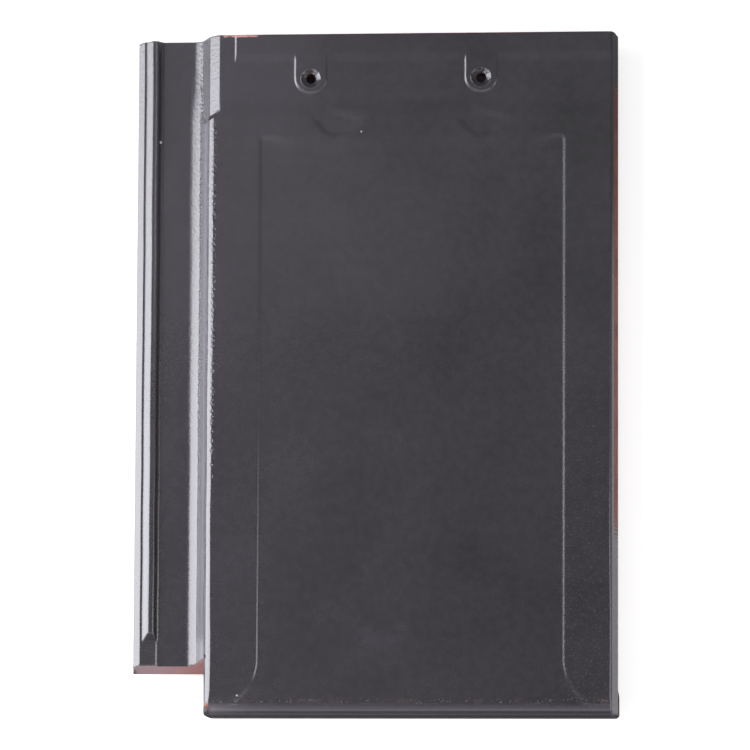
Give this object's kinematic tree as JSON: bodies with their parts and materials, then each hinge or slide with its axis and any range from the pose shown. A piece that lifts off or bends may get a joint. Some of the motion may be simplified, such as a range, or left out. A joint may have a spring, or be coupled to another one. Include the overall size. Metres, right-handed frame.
{
  "type": "flat interlocking clay roof tile",
  "caption": "Flat interlocking clay roof tile with a slate-grey glaze, a side channel, a cover lap, a bullnose foot and nail holes at the head.",
  "frame": {"origin": "centre of the tile's footprint, on the plane on which its nibs and the lip of its foot rest", "axes": "+X across the slope towards the cover lap, +Y up the slope towards the head, +Z out of the glazed face"},
  "size_m": [0.3, 0.424, 0.03],
  "materials": {
    "glazed_clay": "satin glaze on the face, bare fired clay below"
  },
  "bodies": {
    "root": {"roof_tile": "glazed_clay"}
  },
  "joints": []
}
